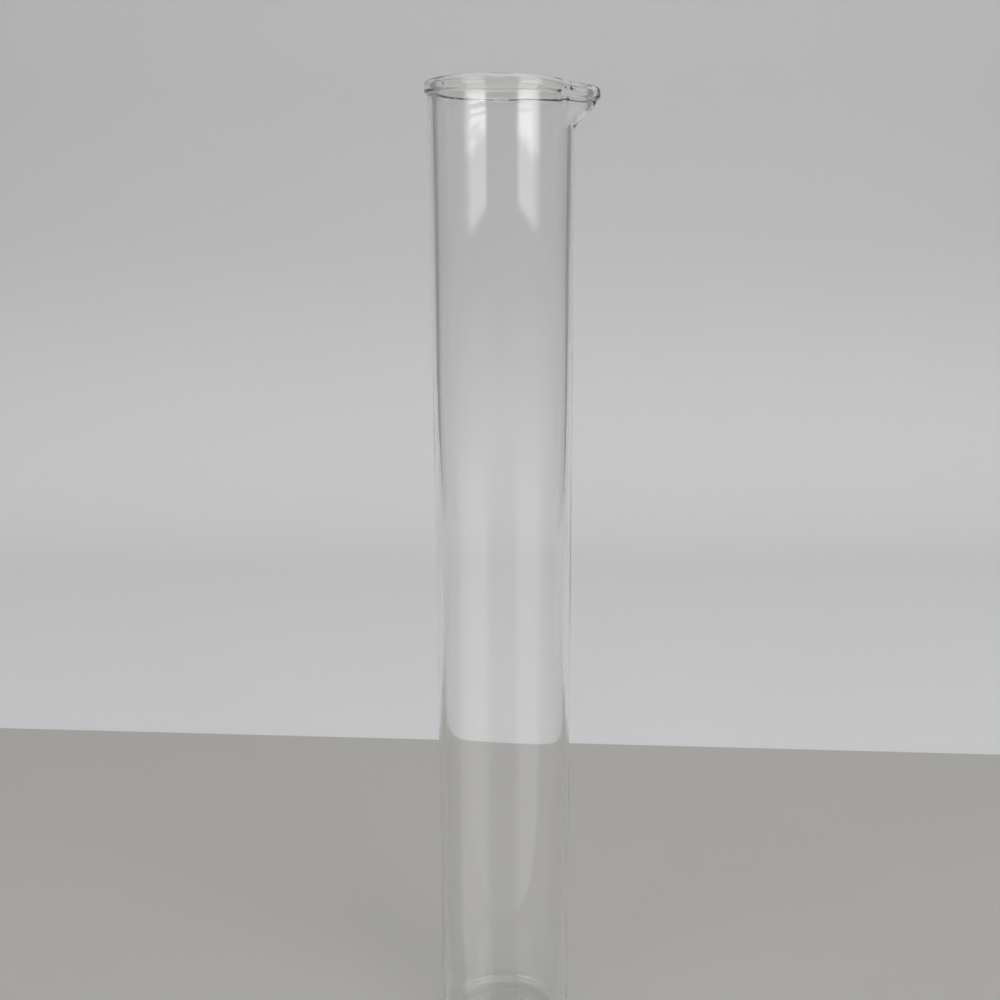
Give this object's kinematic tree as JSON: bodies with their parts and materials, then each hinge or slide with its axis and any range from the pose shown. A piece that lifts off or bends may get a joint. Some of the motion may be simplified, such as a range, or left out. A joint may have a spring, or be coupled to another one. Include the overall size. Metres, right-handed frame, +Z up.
{
  "type": "drying tube",
  "caption": "Clear glass tube, closed at a flat base, with an open beaded mouth and a pulled pouring lip. It stands upright and holds drying agent or samples.",
  "frame": {"origin": "centre of the flat base, on the tube's axis, in the plane that the tube stands on", "axes": "+Z up the tube's axis to the open mouth, +X towards the pouring lip"},
  "size_m": [0.0454, 0.04, 0.275],
  "materials": {
    "clear_glass": "clear, smooth, fire-polished at the rim"
  },
  "bodies": {
    "root": {"glass_tube": "clear_glass"}
  },
  "joints": []
}
